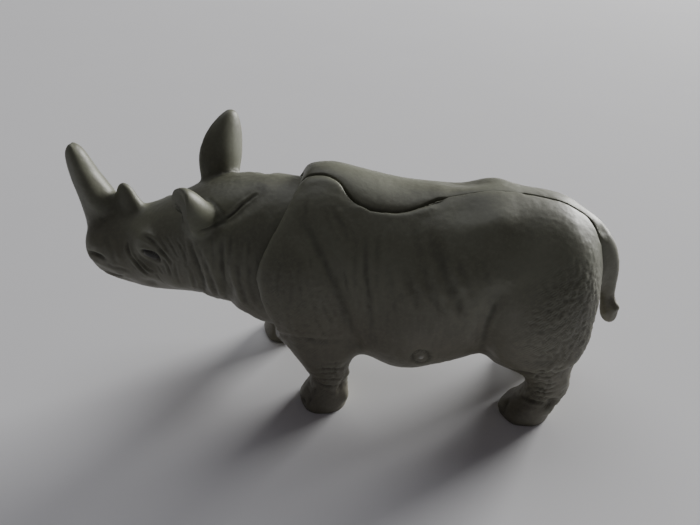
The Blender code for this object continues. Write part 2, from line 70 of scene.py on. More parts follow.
# Folds that lie on the body: breadth, depth, lip, then points of the frame along each
BODY_FOLDS = [
    (0.40, 0.08, 0.04, [(306, 224), (313, 238), (319, 251), (330, 273), (338, 291), (344, 308), (350, 330)]),
    (0.62, 0.12, 0.13, [(434, 238), (437, 250), (442, 264), (448, 279), (453, 292), (460, 306), (468, 320)]),
    (0.50, 0.09, 0.09, [(455, 256), (460, 268), (467, 285), (473, 300), (479, 318)]),
    (0.46, 0.07, 0.07, [(424, 268), (429, 284), (435, 299), (441, 313)]),
    (0.44, 0.06, 0.06, [(405, 266), (408, 280), (413, 293), (418, 306)]),
    (0.30, 0.06, 0.08, [(366, 240), (366, 256), (366, 272), (368, 290), (370, 308), (372, 328)]),
    (0.30, 0.05, 0.04, [(354, 256), (354, 272), (356, 290)]),
    (0.18, 0.06, 0.05, [(361, 284), (363, 295), (367, 307)]),
    (0.20, 0.06, 0.05, [(344, 270), (346, 283), (349, 296)]),
    (0.38, 0.05, 0.05, [(388, 262), (389, 280), (392, 298), (396, 310)]),
    (0.36, 0.04, 0.04, [(377, 234), (378, 250), (379, 266)]),
    (0.44, 0.04, 0.04, [(415, 228), (418, 242), (422, 258)]),
    (0.30, 0.10, 0.05, [(496, 303), (491, 314), (486, 327), (483, 340), (482, 347)]),
    (0.34, 0.05, 0.05, [(484, 262), (487, 276), (491, 290)]),
    (0.36, 0.12, 0.08, [(505, 365), (518, 371), (534, 373), (549, 372), (563, 367)]),
    (0.34, 0.07, 0.06, [(325, 211), (327, 216), (330, 223), (332, 229)]),
    (0.32, 0.06, 0.06, [(332, 211), (336, 218), (339, 226)]),
    (0.36, 0.07, 0.06, [(340, 217), (343, 224), (346, 231), (350, 240)]),
    (0.24, 0.06, 0.04, [(350, 226), (354, 234), (357, 244)]),
    (0.24, 0.06, 0.04, [(307, 200), (306, 208), (307, 216)]),
    (0.24, 0.06, 0.05, [(293, 284), (291, 292), (290, 300), (288, 308)]),
    (0.20, 0.05, 0.04, [(300, 262), (298, 274), (299, 286), (303, 296)]),
    (0.20, 0.05, 0.04, [(310, 258), (311, 270), (315, 282)]),
    (0.24, 0.06, 0.05, [(322, 300), (326, 312), (332, 324)]),
    (0.22, 0.05, 0.04, [(311, 296), (315, 310), (318, 324), (324, 334)]),
    (0.22, 0.05, 0.03, [(282, 262), (279, 276), (278, 290)]),
    (0.42, 0.08, 0.08, [(276, 332), (286, 336), (298, 338), (312, 340), (330, 342), (346, 340)]),
    (0.18, 0.05, 0.04, [(318, 362), (328, 363.5), (338, 363), (345, 361)]),
    (0.16, 0.16, 0.08, [(316, 369), (326, 368.5), (336, 369), (346, 368)]),
    (0.15, 0.14, 0.07, [(317, 373), (325, 373.5), (335, 372.5)]),
    (0.16, 0.15, 0.08, [(318, 379), (327, 379.5), (337, 379), (345, 377)]),
    (0.19, 0.18, 0.09, [(315, 383), (326, 386), (336, 386.5), (344, 385)]),
    (0.15, 0.12, 0.06, [(321, 364), (323, 371), (320, 378)]),
    (0.15, 0.12, 0.06, [(336, 362), (334, 369), (337, 376)]),
    (0.24, 0.16, 0.06, [(308, 405), (311, 398), (316, 390)]),
    (0.24, 0.18, 0.06, [(502, 416), (505, 408), (509, 400)]),
    (0.16, 0.16, 0.08, [(531, 373), (540, 370.5), (549, 371.5), (555, 374)]),
    (0.16, 0.18, 0.09, [(532, 379), (538, 376), (545, 377.5), (552, 376)]),
    (0.16, 0.18, 0.09, [(533, 384), (540, 382.5), (547, 385), (555, 383)]),
    (0.16, 0.16, 0.09, [(529, 388.5), (537, 387), (544, 389.5), (553, 388)]),
    (0.16, 0.15, 0.08, [(530, 393), (538, 392), (546, 393.5), (555, 392)]),
    (0.16, 0.15, 0.08, [(526, 396), (535, 396), (543, 398.5), (551, 398)]),
    (0.20, 0.24, 0.10, [(522, 397), (530, 400), (538, 402.5), (547, 404)]),
    (0.15, 0.14, 0.07, [(537, 371), (536, 378), (539, 384)]),
    (0.15, 0.14, 0.07, [(546, 375), (549, 382), (546, 388)]),
    (0.15, 0.13, 0.07, [(541, 386), (543, 392), (540, 398)]),
    (0.40, 0.03, 0.03, [(508, 352), (522, 360), (538, 363), (554, 358), (566, 348)]),
]

# Hollows and swells on the body: point of the frame, radius, height
BODY_FORMS = [
    (470, 205, 2.6, -0.45), (452, 209, 2.2, -0.20), (502, 214, 2.0, 0.25), (497, 226, 2.2, 0.10),
    (525, 226, 2.6, -0.12), (509, 281, 0.22, 0.10), (583, 224, 2.2, 0.12), (331, 238, 1.5, -0.16),
    (322, 196, 2.2, 0.14), (478, 250, 3.2, -0.18), (445, 300, 2.6, -0.10), (460, 290, 1.2, 0.08),
    (400, 250, 4.0, 0.10), (488, 338, 1.6, -0.25), (352, 345, 1.8, -0.15), (318, 300, 3.0, 0.15),
    (545, 330, 3.0, 0.12), (347, 373, 0.6, 0.28), (345, 366, 0.6, -0.16), (342, 386, 0.8, -0.45),
    (345, 396, 0.8, 0.36), (315, 381, 0.8, -0.25), (304, 392, 0.9, 0.22), (552, 403, 0.8, -0.60),
    (548, 411, 0.7, 0.25), (304, 402, 0.45, -0.34), (502, 413, 0.45, -0.30),
    (565, 384, 0.9, 0.22), (497, 402, 0.9, 0.30), (508, 393, 0.9, -0.14),
]

# Folds whose lowest point is above this are on the far side too
MIRRORED_ABOVE = 7.0

# Stretches of hide on the body: the middle of an oval on the right and its half sizes
HAUNCH = ((25.0, 7.5, 16.0), (5.5, 6.0, 7.5))
SHOULDER = ((-4.0, 8.5, 15.5), (5.5, 6.0, 7.5))
FLANK = ((8.5, 9.0, 15.5), (9.0, 7.0, 8.0))
FORE_SHIN = ((-1.8, 6.0, 4.6), (4.0, 4.0, 3.6))
HIND_SHIN = ((24.6, 4.8, 4.8), (4.2, 4.0, 3.6))
# Relief of the hide: stretch, height, scale along each axis, seed
BODY_RELIEF = [
    ("all", 0.020, (0.9, 0.9, 0.9), 1.0), ("flank", 0.045, (0.50, 1.2, 1.9), 2.0),
    ("shoulder", 0.040, (0.45, 1.0, 1.2), 3.0), ("haunch", 0.100, (0.42, 0.42, 0.42), 4.0),
    ("shoulder", 0.045, (0.40, 0.40, 0.40), 5.0), ("outer", 0.016, (0.45, 0.45, 0.45), 7.0),
    ("shins", 0.105, (0.55, 0.55, 0.38), 6.0),
]
HEAD_RELIEF = [
    ("neck", 0.060, (0.42, 0.9, 1.9), 4.0), ("hide", 0.020, (0.6, 0.6, 0.9), 5.0),
    ("neck", 0.018, (0.34, 0.34, 0.34), 7.0), ("horns", 0.010, (0.8, 0.8, 2.4), 6.0),
]
# Share of painted shade laid over the haunch
HAUNCH_SHADE = 0.8
# Wrinkles round the far lower legs: the leg's place and the height of each, then their common sizes
LEG_RINGS = [
    (-9.4, 6.0, (2.9, 3.6, 4.3, 5.1, 6.0)), (25.0, 4.8, (3.1, 3.8, 4.5, 5.3, 6.2)),
]
RING_MIDDLE, RING_HALVES = 4.2, (4.0, 4.0, 3.4)
RING_DEPTH, RING_BREADTH, RING_WAVE = 0.09, 0.17, 0.8

# Parting line on the back, in the frame: the lip that stands over it, the stretch that closes up, and
# the fine line that it leaves over the rump
PARTING_LIP = [
    (306, 183), (316, 181), (328, 181), (337, 184), (344, 191), (351, 200), (362, 208), (378, 214),
    (398, 216), (416, 213), (430, 208),
]
PARTING_TIGHT = [(443, 202), (460, 199), (478, 196.5), (496, 195.5), (512, 196), (528, 198)]
PARTING_FINE = [
    (526, 196), (546, 200.5), (563, 206), (577, 213), (586, 221), (593, 231), (597, 242), (600, 256),
    (600, 270), (597, 296),
]
COLLAR_RIM = [
    (297, 181), (289, 197), (281, 218), (271, 241), (261, 265), (257, 282), (259, 299), (266, 315),
    (275, 329),
]
# Hollows and swells of the tail, as for the body, and the lines between the hairs at its end
TAIL_FORMS = [
    (605, 231, 0.9, -0.30), (611, 298, 0.50, -0.20), (615, 308, 0.60, 0.42), (606, 313, 0.50, 0.10),
]
TAIL_HAIRS = [
    (0.14, 0.10, 0.05, [(611, 300), (615, 309), (614, 318)]),
    (0.14, 0.08, 0.04, [(607, 300), (608, 309), (610, 318)]),
]
# Welts along a path: reach, breadth, height
PARTING_WELT = (1.6, 0.60, 0.12)
COLLAR_WELT = (1.2, 0.40, 0.07)
GATE_WELT = (1.0, 0.19, -0.22)
EAR_WELT = (0.8, 0.25, 0.06)
# The moulding gate on the belly, in the frame: middle and half sizes of its ring, the dish and nub in it
GATE = (421, 357.0)
GATE_SIZE = (8.6, 6.0)
GATE_FORMS = [(0.70, -0.12), (0.28, 0.42)]
GATE_SHADE, GATE_GLINT = 1.3, 1.4
# The parting's two rims: how far beside it their height is read, the gap, how far and how broadly each
# is pulled in, how broadly they are brought level, how deep they are tucked under the bridge between
# them, over how many places heights are evened, and how often the closed stretch is drawn smooth
RIM_STEP = 0.45
RIM_GAP = 0.3
RIM_PULL, RIM_HOLD = 0.34, 1.1
RIM_BLEND = 2.4
RIM_TUCK = 0.18
RIM_MEAN, RIM_ROUNDS = 5, 4
# Step along the closed stretch and depth of the rim's top there, then the pull over the rump
COLUMN, COLUMN_TOP = 0.2, 0.9
FINE_PULL, FINE_HOLD = 0.13, 1.6

# Folds of the head and neck, as for the body
HEAD_FOLDS = [
    (0.24, 0.22, 0.13, [(143, 236), (149, 238.5), (154, 242.5), (160, 249.5), (165, 255), (171.5, 262.5)]),
    (0.20, 0.18, 0.12, [(127, 243), (127.5, 248), (130.5, 255.5), (136.5, 263), (142, 268.5), (149, 274)]),
    (0.15, 0.12, 0.08, [(134.5, 254), (137.5, 259), (141, 262.5), (147, 268), (153, 271)]),
    (0.18, 0.14, 0.08, [(164, 259), (167, 265), (169.5, 271), (171.5, 277)]),
    (0.15, 0.10, 0.06, [(155, 264), (159, 268.5), (162, 273)]),
    (0.15, 0.08, 0.05, [(157, 275), (161, 280), (166, 284)]),
    (0.16, 0.08, 0.05, [(167, 237), (170, 241.5), (173, 247), (178, 256)]),
    (0.16, 0.07, 0.05, [(176, 238), (179, 243), (182.5, 249), (187, 262)]),
    (0.15, 0.05, 0.04, [(160, 238), (164, 244), (168, 251)]),
    (0.17, 0.06, 0.04, [(175, 262), (177, 272), (180, 282)]),
    (0.26, 0.12, 0.10, [(191, 240), (194, 254), (199, 267), (204, 280), (207, 294)]),
    (0.28, 0.12, 0.12, [(200, 250), (205, 263), (211, 278), (216, 294)]),
    (0.22, 0.07, 0.06, [(187, 264), (192, 273), (195, 284), (196, 291)]),
    (0.34, 0.11, 0.10, [(222, 238), (221, 252), (222, 268), (224, 284), (228, 298)]),
    (0.38, 0.13, 0.10, [(240, 252), (238, 266), (239, 280), (243, 294), (249, 306)]),
    (0.24, 0.06, 0.05, [(212, 238), (213, 252), (216, 267)]),
    (0.24, 0.05, 0.04, [(231, 236), (230, 250), (231, 264)]),
    (0.24, 0.05, 0.05, [(250, 244), (249, 260), (251, 277)]),
    (0.17, 0.22, 0.12, [(222, 220), (228, 217), (234, 212.8), (240, 207), (245, 203), (256, 195)]),
    (0.20, 0.20, 0.04, [(199, 231), (206, 229), (213, 226), (219, 223.5), (225, 221)]),
    (0.20, 0.16, 0.00, [(226, 218), (221, 210), (215, 204), (209, 199)]),
    (0.22, 0.16, 0.06, [(91, 262), (98, 268), (107, 272), (118, 275), (128, 276)]),
    (0.22, 0.06, 0.04, [(104, 262), (112, 266), (121, 268), (129, 271)]),
    (0.30, 0.06, 0.05, [(106, 238), (110, 245), (113, 253), (116, 262)]),
]
HEAD_FORMS = [
    (121, 232, 1.9, -0.30), (133, 232, 1.1, 0.16), (141, 234, 1.4, 0.20), (149, 257, 1.2, -0.30),
    (97, 246, 1.0, 0.14), (91, 240, 1.6, 0.10), (128, 262, 1.4, -0.12), (145, 275, 1.1, 0.16),
    (160, 268, 1.2, -0.10), (118, 256, 1.6, 0.14), (205, 290, 0.9, 0.28), (188, 280, 1.8, 0.12),
    (178, 230, 2.2, 0.10), (230, 275, 1.1, 0.14), (206, 236, 2.0, 0.08), (232, 200, 1.6, 0.12),
    (107, 205, 1.5, -0.10), (263, 186, 1.5, 0.10), (223, 219, 0.7, -0.25),
    (152, 283, 0.9, -0.30), (112, 224, 1.6, -0.12),
]
# The eye: place in the frame, half sizes, direction of its length; the ball's height, then for the groove
# of the lid and the brow round it the place and breadth as shares of the half sizes, and the height
EYE_AT = (150, 256.5)
EYE_SIZE = (0.86, 0.46)
EYE_LEAN = (0.88, 0.0, -0.47)
EYE_REACH = 2.2
EYE_BALL = 0.16
EYE_LID = (1.15, 0.22, -0.20)
EYE_BROW = (1.75, 0.35, 0.09)
GLINT_AT = (147.0, 253.6)
NOSTRIL_LINE = [(91, 252), (95, 252.5), (100, 254.5), (105, 258.5)]
NOSTRIL_FOLD = (0.28, 0.30, 0.12)
# Front horn: middle, height and radius along its axis, and the keel down each flank of it, in degrees
# from its back
HORN_AXIS = [
    (-28.6, 20.2, 2.2), (-29.1, 22.0, 2.0), (-29.8, 24.0, 1.75), (-30.5, 26.0, 1.45), (-30.9, 27.9, 1.25),
    (-31.1, 29.2, 0.95), (-31.2, 30.1, 0.45),
]
HORN_KEEL = 0.36
KEEL_TURN = 68.0
KEEL_SPREAD = 32.0
EAR_RIM = [(185.5, 190), (187.0, 198), (187.5, 208), (188.0, 216), (191, 224)]
EAR_HOLE = [(176, 206), (179, 213), (182, 219)]
EAR_FOLD = (0.40, 0.50, 0.0)
# Root and tip of each ear, which carry no wrinkles
EARS = [((-15.7, -4.9, 23.0), (-15.6, -6.9, 29.1)), ((-16.3, 3.8, 22.8), (-14.4, 7.2, 32.3))]

# Plastic: base colour and its share in each piece, and how finely mottling, specks, grain and hide lie
BASE = (0.148, 0.154, 0.113)
RIGHT_TONE, HEAD_TONE = 1.03, 0.97
CLOUD_SCALE, SPECK_SCALE, GRAIN_SCALE, HIDE_SCALE = 160.0, 2600.0, 5200.0, 1900.0
DARK_TONE = (0.84, 0.82, 0.80)
# Tones of the mottling and specks, of the painted shade in hollows and of the painted sheen on ridges
LIGHT_TONE, SPECK_TONE, HOLLOW_SHADE_TONE, RIDGE_SHEEN_TONE = 1.14, 1.35, 0.38, 1.45
# Painted warm bounce light from the paper: its tint, and the heights over which it fades in towards the
# bottom
WARM_BOUNCE = (1.07, 0.97, 1.00)
BOUNCE_FROM, BOUNCE_TO = 23.0, 13.0
# The eye darkened and made glossy, with painted shade along the groove of its upper lid; then the painted
# glints on the eye and on the gate's nub
EYE_DARK_AND_LID_SHADE = (0.012, 0.011, 0.013)
GLINT = (0.55, 0.55, 0.50)

# Room: the paper's two tones, what the lights are aimed at, in metres, and the room's own faint light
PAPER = ((0.78, 0.785, 0.80), (0.82, 0.825, 0.84))
LIT_SPOT = (0.0, 0.0, 0.01)
ROOM_COLOUR, ROOM_POWER = (1.04, 0.96, 1.06), 0.08


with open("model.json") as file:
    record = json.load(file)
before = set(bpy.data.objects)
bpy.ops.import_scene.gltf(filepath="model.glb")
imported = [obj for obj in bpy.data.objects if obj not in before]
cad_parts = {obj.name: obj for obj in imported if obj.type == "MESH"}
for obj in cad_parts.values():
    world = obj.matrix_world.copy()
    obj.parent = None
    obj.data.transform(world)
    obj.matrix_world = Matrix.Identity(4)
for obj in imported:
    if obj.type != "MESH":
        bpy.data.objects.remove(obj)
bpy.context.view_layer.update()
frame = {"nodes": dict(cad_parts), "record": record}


# Camera

def aim_camera():
    lens = bpy.data.cameras.new("camera")
    lens.sensor_width = 36.0
    lens.lens = FOCUS / FRAME[0] * lens.sensor_width
    lens.clip_start = 0.001
    lens.clip_end = 20.0
    made = bpy.data.objects.new("camera", lens)
    bpy.context.scene.collection.objects.link(made)
    made.location = Vector(LENS_AT) * MM
    made.rotation_euler = (math.radians(90.0 - LOOK_DOWN), 0.0, math.radians(LOOK_ROUND))
    bpy.context.scene.camera = made
    bpy.context.view_layer.update()
    return made


camera = aim_camera()
look_from = np.array(LENS_AT)
look_turn = np.array(camera.matrix_world.to_3x3())


def sight(u, v):
    """Direction of the line of sight through a point of the frame."""
    ahead = look_turn @ np.array([(u - FRAME[0] / 2) / FOCUS, (FRAME[1] / 2 - v) / FOCUS, -1.0])
    return ahead / np.linalg.norm(ahead)


# Mesh tools

def ramp(values, start, end):
    """0 before start, 1 after end."""
    t = np.clip((values - start) / (end - start), 0.0, 1.0)
    return t * t * (3.0 - 2.0 * t)


def bell(away, breadth):
    """1 where away is 0, falling to nothing on either side."""
    return np.exp(-(away / breadth) ** 2)


def patch(points, oval, side=1.0):
    """1 at the middle of an oval, falling to 0 outside it; side is -1 on the animal's left."""
    (x, y, z), halves = oval
    away = np.linalg.norm((points - np.array((x, y * side, z))) / np.array(halves), axis=1)
    return 1.0 - ramp(away, 0.6, 1.3)


def use_modifier(thing, kind, **values):
    tool = thing.modifiers.new(kind.title(), kind)
    for key, value in values.items():
        setattr(tool, key, value)
    bpy.ops.object.select_all(action="DESELECT")
    thing.select_set(True)
    bpy.context.view_layer.objects.active = thing
    bpy.ops.object.modifier_apply(modifier=tool.name)


def smooth_path(rows, step):
    """Points a step apart on a smooth curve through rows."""
    rows = np.asarray(rows, dtype=float)
    out = []
    for i in range(len(rows) - 1):
        p0, p1 = rows[max(i - 1, 0)], rows[i]
        p2, p3 = rows[i + 1], rows[min(i + 2, len(rows) - 1)]
        count = max(int(np.linalg.norm(p2 - p1) / step), 1)
        for t in np.arange(count) / count:
            out.append(0.5 * (2 * p1 + (p2 - p0) * t + (2 * p0 - 5 * p1 + 4 * p2 - p3) * t ** 2
                              + (3 * p1 - p0 - 3 * p2 + p3) * t ** 3))
    out.append(rows[-1])
    return np.array(out)


class Skin:
    """A fine even copy of one moulded piece and the tools that carve it."""

    def __init__(self, node, name, grid, rounds):
        made = bpy.data.objects.new(name, frame["nodes"][node].data.copy())
        bpy.context.scene.collection.objects.link(made)
        made.data.name = name
        made.data.materials.clear()
        self.thing = made
        self.node = node
        shell = bmesh.new()
        shell.from_mesh(made.data)
        bmesh.ops.remove_doubles(shell, verts=shell.verts, dist=WELD * MM)
        hard = shell.edges.layers.float.new("crease_edge")
        for edge in shell.edges:
            if len(edge.link_faces) == 2 and edge.calc_face_angle() > math.radians(SHARP):
                edge[hard] = 1.0
        shell.to_mesh(made.data)
        shell.free()
        use_modifier(made, "SUBSURF", levels=2, render_levels=2)
        use_modifier(made, "REMESH", mode="VOXEL", voxel_size=grid * MM)
        self.read()
        self.even(rounds)
        self.read()
        self.tree = self.surface()
        # Carved height, painted shade, the eye's dark gloss with painted shade along its lid, and painted
        # glints
        self.rise, self.shade, self.wet, self.glint = (np.zeros(len(self.points)) for _ in range(4))

    def surface(self):
        faces = [tuple(face.vertices) for face in self.thing.data.polygons]
        return BVHTree.FromPolygons([tuple(p) for p in self.points], faces)

    def read(self):
        mesh = self.thing.data
        flat = np.empty(len(mesh.vertices) * 3)
        mesh.vertices.foreach_get("co", flat)
        self.points = flat.reshape(-1, 3) / MM
        flat = np.empty(len(mesh.vertices) * 3)
        mesh.vertices.foreach_get("normal", flat)
        self.normals = flat.reshape(-1, 3).copy()
        ends = np.empty(len(mesh.edges) * 2, dtype=np.int64)
        mesh.edges.foreach_get("vertices", ends)
        self.ends = ends.reshape(-1, 2).T

    def write(self):
        self.thing.data.vertices.foreach_set("co", (self.points * MM).ravel())
        self.thing.data.update()

    def around(self, values, weight=None):
        """The mean of each point's neighbours, each counted by its weight."""
        a, b = self.ends
        weight = np.ones(len(values)) if weight is None else weight
        whole = np.bincount(a, weight[b], len(values)) + np.bincount(b, weight[a], len(values))
        total = np.zeros_like(values)
        for axis in range(values.shape[1]):
            part = values[:, axis] * weight
            total[:, axis] = np.bincount(a, part[b], len(values)) + np.bincount(b, part[a], len(values))
        return total / whole[:, None]

    def even(self, rounds):
        """Facets smoothed away, the moulded edges drawn smooth along their length, the soles kept level."""
        flat = self.normals.copy()
        for _ in range(3):
            flat = self.around(flat)
        soft = np.clip((np.linalg.norm(flat, axis=1) - SMOOTH_FROM) / SMOOTH_RANGE, 0.0, 1.0)
        edge = 1.0 - soft
        level = np.where(self.points[:, 2:] > SOLE, 1.0, (1.0, 1.0, 0.0))
        for _ in range(rounds):
            share = (SMOOTH_SHARE * soft + EDGE_SHARE * edge)[:, None]
            across = share * (self.around(self.points) - self.points)
            along = EDGE_ALONG * edge[:, None] * (self.around(self.points, 0.03 + edge ** 2) - self.points)
            self.points = self.points + level * (across + along)
        self.write()

    def trace(self, path, mirror=False):
        """Where the lines of sight through a path of the frame meet the skin: points and normals."""
        places, ways = [], []
        for u, v in smooth_path(path, TRACE_STEP):
            place, way, _, _ = self.tree.ray_cast(Vector(look_from), Vector(sight(u, v)))
            if place is None:
                continue
            if mirror:
                place, way, _, _ = self.tree.find_nearest(Vector((place.x, -place.y, place.z)))
            places.append(tuple(place))
            ways.append(tuple(way))
        return np.array(places), np.array(ways)

    def opposite(self, places):
        """The same places on the other side of the animal: points and normals."""
        spots, ways = [], []
        for x, y, z in places:
            spot, way, _, _ = self.tree.find_nearest(Vector((x, -y, z)))
            spots.append(tuple(spot))
            ways.append(tuple(way))
        return np.array(spots), np.array(ways)

    def near(self, places, ways, reach):
        """Points of the skin within reach of places: their indices, distances and nearest place."""
        low, high = places.min(axis=0) - reach, places.max(axis=0) + reach
        inside = np.flatnonzero(((self.points > low) & (self.points < high)).all(axis=1))
        gaps = np.linalg.norm(self.points[inside][:, None, :] - places[None, :, :], axis=2)
        nearest = gaps.argmin(axis=1)
        away = gaps.min(axis=1)
        faces = (self.normals[inside] * ways[nearest]).sum(axis=1) > FACING
        keep = (away < reach) & faces
        return inside[keep], away[keep], nearest[keep]

    def fold(self, places, ways, breadth, depth, lip):
        """A groove along places with a low lip on either hand, and painted shade in the groove."""
        if len(places) < 2:
            return
        inside, away, nearest = self.near(places, ways, FOLD_REACH * breadth)
        beat = [BEAT_MEAN + BEAT_SWING * noise.noise(Vector(place) * BEAT_SIZE) for place in places]
        reach = np.sin(math.pi * (np.arange(len(places)) + 0.6) / (len(places) + 0.2)) ** FADE
        ends = (np.clip(beat, *BEAT_LIMITS) * reach)[nearest]
        groove = bell(away, breadth)
        brow = bell(away - LIP_AWAY * breadth, LIP_BREADTH * breadth)
        self.rise[inside] += ends * (lip * brow - depth * groove)
        self.shade[inside] += ends * groove * min(depth / DARK_DEPTH, 1.0)

    def swell(self, place, way, radius, height):
        """A round swell, or a hollow where the height is below 0."""
        inside, away, _ = self.near(np.array([place]), np.array([way]), SWELL_REACH * radius)
        self.rise[inside] += height * bell(away, radius)

    def welt(self, places, ways, form):
        """A low ridge along places, or a groove where the height is below 0; returns where and how much."""
        reach, breadth, height = form
        inside, away, _ = self.near(places, ways, reach)
        share = bell(away, breadth)
        self.rise[inside] += height * share
        return inside, share

    def calm(self, spot, reach, rounds):
        """The skin drawn smooth round a spot."""
        share = bell(np.linalg.norm(self.points - spot, axis=1), reach)[:, None]
        for _ in range(rounds):
            self.points = self.points + 0.6 * share * (self.around(self.points) - self.points)

    def press(self):
        """What has been gathered so far, pressed into the skin."""
        self.rise *= np.clip((self.points[:, 2] - SOLE) / SOLE_FADE, 0.0, 1.0)
        self.points = self.points + self.normals * self.rise[:, None]
        self.write()
        self.read()
        self.rise = np.zeros(len(self.points))

    def relief(self, weight, height, scale, seed):
        """Noise over a stretch of skin, with a scale in millimetres along each axis."""
        where = np.flatnonzero(weight > 0.02)
        shift = np.array([seed * 7.3, seed * 3.1, seed * 5.7])
        spots = self.points[where] / np.asarray(scale) + shift
        values = np.array([noise.noise(p) + 0.5 * noise.noise(p * 2.1) for p in map(Vector, spots)])
        self.rise[where] += height * weight[where] * values

    def finish(self, material):
        """Marks for the material are written, and the piece takes its node's place."""
        mesh = self.thing.data
        bend = ((self.around(self.points) - self.points) * self.normals).sum(axis=1)[:, None]
        for _ in range(2):
            bend = self.around(bend)
        bend = bend[:, 0] / BEND
        # Marks for the material: painted shade in hollows and folds, painted sheen on ridges, the eye's dark
        # gloss with painted shade along its lid, and painted glints
        marks = {"hollow": SHADE_SHARE * self.shade + bend, "ridge": -bend,
                 "wet": self.wet, "glint": self.glint}
        for name, values in marks.items():
            mark = mesh.attributes.new(name, "FLOAT", "POINT")
            mark.data.foreach_set("value", np.clip(values, 0.0, 1.0).astype(np.float32))
        mesh.materials.append(material)
        mesh.shade_smooth()
        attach(self.thing, "root")
        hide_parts(self.node)


# Materials

class Wire:
    """A shader socket that takes part in arithmetic."""

    def __init__(self, shade, socket):
        self.shade, self.socket = shade, socket

    def math(self, kind, other, turned=False):
        first, second = (other, self) if turned else (self, other)
        return self.shade.node("ShaderNodeMath", {"operation": kind}, [first, second])

    def __add__(self, other):
        return self.math("ADD", other)

    def __sub__(self, other):
        return self.math("SUBTRACT", other)

    def __mul__(self, other):
        return self.math("MULTIPLY", other)

    def __rsub__(self, other):
        return self.math("SUBTRACT", other, turned=True)

    __radd__ = __add__
    __rmul__ = __mul__


class Shade:
    """A material whose nodes are written as expressions."""

    def __init__(self, name):
        self.material = bpy.data.materials.new(name)
        self.material.use_nodes = True
        self.tree = self.material.node_tree
        self.surface = self.tree.nodes["Principled BSDF"]

    def put(self, socket, value):
        if isinstance(value, Wire):
            self.tree.links.new(value.socket, socket)
        else:
            socket.default_value = value

    def node(self, kind, settings=None, values=None, out=0):
        """Any node: its settings first, then the values or links of its sockets by place or name."""
        made = self.tree.nodes.new(kind)
        for key, value in (settings or {}).items():
            setattr(made, key, value)
        pairs = values.items() if isinstance(values, dict) else enumerate(values or [])
        for key, value in pairs:
            self.put(made.inputs[key], value)
        return Wire(self, made.outputs[out])

    def noise(self, place, scale, detail):
        return self.node("ShaderNodeTexNoise", values={0: place, "Scale": scale, "Detail": detail})

    def blend(self, share, first, second):
        return self.node("ShaderNodeMix", {"data_type": "RGBA"}, {0: share, 6: first, 7: second}, out=2)

    def tint(self, colour, other):
        return self.node("ShaderNodeMix", {"data_type": "RGBA", "blend_type": "MULTIPLY"},
                         {0: 1.0, 6: colour, 7: other}, out=2)

    def between(self, value, start, end):
        return self.node("ShaderNodeMapRange", {"clamp": True}, [value, start, end, 0.0, 1.0])

    def set(self, name, value):
        self.put(self.surface.inputs[name], value)


def toned(colour, share=1.0):
    """A colour for a socket, made lighter or darker."""
    return (*(c * share for c in colour), 1.0)


def moulded_plastic(name, base, seed):
    """Grey-green moulded plastic: soft mottling, painted shade in hollows, painted sheen on ridges, painted
    warm bounce light lower down, a dark glossy eye with painted shade along its lid, painted glints and a
    fine eggshell grain.
    """
    shade = Shade(name)
    place = shade.node("ShaderNodeTexCoord", out=3)
    moved = shade.node("ShaderNodeVectorMath", {"operation": "ADD"}, [place, (seed, 0.0, 0.0)])
    cloud = shade.noise(moved, CLOUD_SCALE, 3.0)
    speck = shade.noise(moved, SPECK_SCALE, 2.0)
    grain = shade.noise(moved, GRAIN_SCALE, 2.0)
    hide = shade.node("ShaderNodeTexVoronoi", values={0: moved, "Scale": HIDE_SCALE})
    hollow, ridge, wet, glint = (shade.node("ShaderNodeAttribute", {"attribute_name": mark}, out=2)
                                 for mark in ("hollow", "ridge", "wet", "glint"))
    height = shade.node("ShaderNodeSeparateXYZ", values=[place], out=2)
    dark = toned([c * share for c, share in zip(base, DARK_TONE)])
    colour = shade.blend(shade.between(cloud, 0.35, 0.65), dark, toned(base, LIGHT_TONE))
    colour = shade.blend(shade.between(speck, 0.45, 0.70) * 0.34, colour, toned(base, SPECK_TONE))
    # Painted warm bounce light from the paper, stronger towards the bottom
    bounce_share = shade.between(height, BOUNCE_FROM * MM, BOUNCE_TO * MM)
    colour = shade.blend(bounce_share, colour, shade.tint(colour, toned(WARM_BOUNCE)))
    # Painted shade: hollows, folds and carved shade darker
    colour = shade.blend(hollow * 0.60, colour, toned(base, HOLLOW_SHADE_TONE))
    # Painted sheen: ridges paler
    colour = shade.blend(ridge * 0.35, colour, toned(base, RIDGE_SHEEN_TONE))
    # The eye darkened and made glossy, with painted shade along its upper lid, then painted glints
    colour = shade.blend(wet * 0.90, colour, toned(EYE_DARK_AND_LID_SHADE))
    colour = shade.blend(glint, colour, toned(GLINT))
    shade.set("Base Color", colour)
    shade.set("Roughness", shade.between(cloud, 0.2, 0.8) * 0.10 + hollow * 0.14 - wet * 0.12 + 0.43)
    bump = shade.node("ShaderNodeBump", values={"Strength": 0.35, "Distance": 0.00005,
                                                "Height": grain * 0.5 + hide * 0.5})
    shade.set("Normal", bump)
    shade.set("Specular IOR Level", 0.5)
    return shade.material


# Pieces

left = Skin("left_shell", "left_shell_skin", BODY_GRID, BODY_ROUNDS)
right = Skin("right_shell", "right_shell_skin", BODY_GRID, BODY_ROUNDS)
head = Skin("head", "head_skin", HEAD_GRID, HEAD_ROUNDS)


def carve_forms(skin, forms, other=None):
    """Hollows and swells on the near side, and on the far side of the other skin where there is one."""
    for u, v, radius, height in forms:
        places, ways = skin.trace([(u, v)])
        if not len(places):
            continue
        skin.swell(places[0], ways[0], radius, height)
        if other:
            spots, turns = other.opposite(places)
            other.swell(spots[0], turns[0], radius, height)


